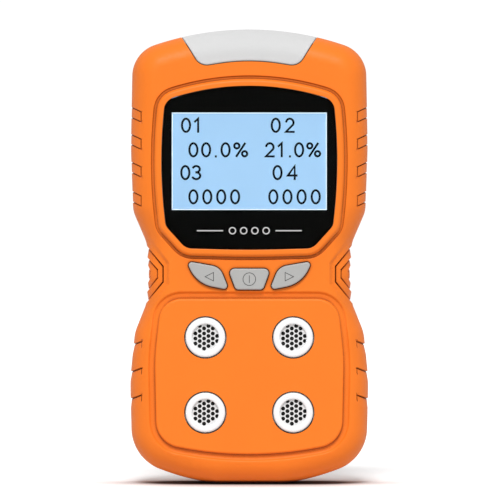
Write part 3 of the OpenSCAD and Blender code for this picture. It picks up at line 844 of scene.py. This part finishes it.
def build_readings():
    """Channel numbers and plain values on the lit panel, its bright edge, and the mark under it."""
    rows = [("01", -19.2, -13.7, 100.6), ("02", 6.4, 12.7, 100.6), ("00.0%", -17.1, -0.6, 93.6),
            ("21.0%", 4.7, 20.2, 93.6), ("03", -19.4, -13.9, 87.1), ("04", 6.9, 13.5, 87.1),
            ("0000", -17.1, -2.9, 80.2), ("0000", 5.7, 20.1, 80.2)]
    paths = [p for text, x0, x1, z in rows for p in reading(text, x0, x1, z)]
    verts, faces = stroke_mesh(paths, STROKE, READING_Y - 0.04, READING_Y)
    make("display_readings", verts, faces, "black_print", "case", finish="reading_ink")
    w, h = VIEW_W / 2 - 0.12, VIEW_H / 2 - 0.12
    edge = [(s * w, VIEW_Z + t * h) for s, t in ((-1, -1), (1, -1), (1, 1), (-1, 1), (-1, -1))]
    verts, faces = stroke_mesh([edge], 0.3, READING_Y - 0.6, READING_Y - 0.02)
    make("display_edge", verts, faces, "backlight", "case")
    marks = [oval(x, MARK_Z, 0.9, 0.9, n=25) for x in (-4.8, -1.6, 1.6, 4.8)]
    marks += [[(s * 14.8, MARK_Z), (s * 7.6, MARK_Z)] for s in (-1, 1)]
    verts, faces = stroke_mesh(marks, 0.34, -LENS_Y - 0.02, -LENS_Y + 0.01)
    make("window_mark", verts, faces, "label_silver", "case")


def build_spring():
    """The clip's torsion spring: one leg on the base, 3.5 turns round the pin, one leg up the lever."""
    turns, steps, sides = 3.5, 210, 14
    # along the pin, angle round it, and how far the legs rise and lean out
    path = [(-COIL_HALF, 180, z, 0) for z in (8, 6, 4, 2, 0.5)]
    for k in range(steps + 1):
        path.append((-COIL_HALF + 2 * COIL_HALF * k / steps, 180 + 360 * turns * k / steps, 0, 0))
    path += [(COIL_HALF, 0, z, 0.06 * z) for z in (0.5, 2, 4, 6, 8, 10)]
    verts = []
    for x, a, rise, lean in path:
        a = math.radians(a)
        for j in range(sides):
            b = 2 * math.pi * j / sides
            r = COIL_R + WIRE_R * math.cos(b)
            y, z = PIN_Y + r * math.cos(a) + lean, PIN_Z + r * math.sin(a) + rise
            verts.append((x + WIRE_R * math.sin(b), y, z))
    rows = [list(range(k * sides, (k + 1) * sides)) for k in range(len(path))]
    faces = []
    for a, b in zip(rows, rows[1:]):
        faces += [[a[j], b[j], b[(j + 1) % sides], a[(j + 1) % sides]] for j in range(sides)]
    faces += [rows[0], rows[-1][::-1]]
    spring = make("hinge_spring", verts, faces, "steel", None, ["clip_spring"])
    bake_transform(spring)


def key_mark(name, body, paths):
    """A thin raised symbol on a key."""
    verts, faces = stroke_mesh(paths, 0.17, -KEY_Y - 0.012, -KEY_Y + 0.2)
    make(name, verts, faces, "chip_black", body)


def build_keys():
    """The three key caps and their symbols."""
    for name, body, shape, replaced in (("key_left", "left_key", LEFT_KEY, "left_button"),
                                        ("key_power", "power_key", MID_KEY, "power_button"),
                                        ("key_right", "right_key", SIDE_KEY, "right_button")):
        pad(name, shape, KEY_Y, KEY_BACK, 0.45, "key_grey", body, [replaced])
    tri = [(-12.6, 59.3), (-10.2, 60.5), (-10.2, 58.1), (-12.6, 59.3)]
    key_mark("mark_left", "left_key", [tri])
    key_mark("mark_right", "right_key", [[(-x, z) for x, z in tri]])
    key_mark("mark_power", "power_key", [oval(0, 58.6, 1.8, 1.8, n=33), [(0, 59.6), (0, 57.6)]])


def bevel_nodes():
    """The CAD pieces that stay get softened edges and their finish."""
    widths = {"clip_lever": 0.35, "clip_base": 0.3, "port_cover": 0.2, "rear_label": 0.06,
              "case_screws": 0.12, "clip_screws": 0.1, "board_screws": 0.1, "grille": 0.06,
              "battery_pack": 0.8, "board_chips": 0.1, "charge_socket": 0.08, "left_switch": 0.15,
              "right_switch": 0.15, "power_switch": 0.15}
    for name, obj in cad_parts.items():
        for slot in obj.material_slots:
            slot.material = MATERIALS[slot.material.name.split(".")[0]]
        width = widths.get(name, widths.get(name.split("_")[0], 0.05))
        bevel = obj.modifiers.new("soft_edges", "BEVEL")
        bevel.width = width * MM
        bevel.segments = 3
        bevel.limit_method = "ANGLE"
        bevel.angle_limit = math.radians(40)
        bevel.use_clamp_overlap = True
        obj.data.shade_smooth()
        obj.data.set_sharp_from_angle(angle=math.radians(35))


# ---------------------------------------------------------------- light, floor and camera
def aim(obj, target):
    """Turn a light to face the target."""
    obj.rotation_euler = (Vector(target) - obj.location).to_track_quat("-Z", "Y").to_euler()


def lamp(name, kind, place, energy, target=(0, 0, 0.065), **settings):
    """A light at place, turned to the target."""
    data = bpy.data.lights.new(name, kind)
    data.energy = energy
    for key, value in settings.items():
        setattr(data, key, value)
    obj = bpy.data.objects.new(name, data)
    obj.location = place
    bpy.context.collection.objects.link(obj)
    aim(obj, target)


def floor_material():
    """Pale paper: white, with a painted contact shadow that makes it darker close to the object, and it
    throws less light back up than it shows.
    """
    mat = bpy.data.materials.new("floor_paper_and_painted_shadow")
    mat.use_nodes = True
    tree = mat.node_tree
    tree.nodes.remove(tree.nodes["Principled BSDF"])
    shown, thrown = tree.nodes.new("ShaderNodeBsdfDiffuse"), tree.nodes.new("ShaderNodeBsdfDiffuse")
    thrown.inputs["Color"].default_value = (0.75, 0.75, 0.75, 1)
    # painted contact shadow: the floor that the camera sees turns dark where the object stands close
    near = occlusion_for_painted_shade(tree, FLOOR_SHADOW_REACH, 32)
    tree.links.new(ramp(tree, near, 0.3, 0.85, 0.12, 1.25), shown.inputs["Color"])
    path, mix = tree.nodes.new("ShaderNodeLightPath"), tree.nodes.new("ShaderNodeMixShader")
    tree.links.new(path.outputs["Is Camera Ray"], mix.inputs["Fac"])
    tree.links.new(thrown.outputs["BSDF"], mix.inputs[1])
    tree.links.new(shown.outputs["BSDF"], mix.inputs[2])
    tree.links.new(mix.outputs["Shader"], tree.nodes["Material Output"].inputs["Surface"])
    return mat


def build_stage():
    """A round floor."""
    mesh = bpy.data.meshes.new("floor")
    n = 64
    verts = [(4 * math.cos(2 * math.pi * k / n), 4 * math.sin(2 * math.pi * k / n), 0) for k in range(n)]
    mesh.from_pydata(verts, [], [list(range(n))])
    floor = bpy.data.objects.new("floor", mesh)
    bpy.context.collection.objects.link(floor)
    mesh.materials.append(floor_material())


def build_world():
    """Even pale light from all round, behind a plain white backdrop."""
    world = bpy.data.worlds.new("studio")
    bpy.context.scene.world = world
    world.use_nodes = True
    tree = world.node_tree
    back = tree.nodes["Background"]
    seen = tree.nodes.new("ShaderNodeBackground")
    path = tree.nodes.new("ShaderNodeLightPath")
    mix = tree.nodes.new("ShaderNodeMixShader")
    back.inputs["Color"].default_value = (1, 1, 1, 1)
    back.inputs["Strength"].default_value = 0.53
    seen.inputs["Color"].default_value = (1, 1, 1, 1)
    seen.inputs["Strength"].default_value = 1.05
    tree.links.new(path.outputs["Is Camera Ray"], mix.inputs["Fac"])
    tree.links.new(back.outputs["Background"], mix.inputs[1])
    tree.links.new(seen.outputs["Background"], mix.inputs[2])
    tree.links.new(mix.outputs["Shader"], tree.nodes["World Output"].inputs["Surface"])


def build_camera():
    """Level with the middle of the object, straight in front of it, far enough back to look flat."""
    data = bpy.data.cameras.new("camera")
    camera = bpy.data.objects.new("camera", data)
    bpy.context.collection.objects.link(camera)
    bpy.context.scene.camera = camera
    data.sensor_width = 36
    data.lens = data.sensor_width * AWAY / FRAME_W
    data.clip_end = 20
    camera.location = (0.0002, -0.006 - AWAY, VIEW_MID)
    camera.rotation_euler = (math.pi / 2, 0, 0)


build_world()
build_stage()
build_camera()
lamp("key", "SUN", (-0.08, -1.3, 1.4), 2.0, angle=math.radians(18))
lamp("fill", "SUN", (1.2, -1.0, 0.7), 0.12, angle=math.radians(60))
bpy.context.scene.view_settings.view_transform = "Standard"

build_front()
build_rear()
build_light()
pad("window_glass", LENS, LENS_Y, SEAT_Y + 0.2, 0.3, "lens", "case", ["window_lens"])
build_readings()
build_keys()
for port, (x, z) in zip(PORT_NAMES, PORTS):
    lathe("port_" + port, x, z, port_profile(), "ring_white", "case", ["port_ring_" + port])
build_spring()
bevel_nodes()
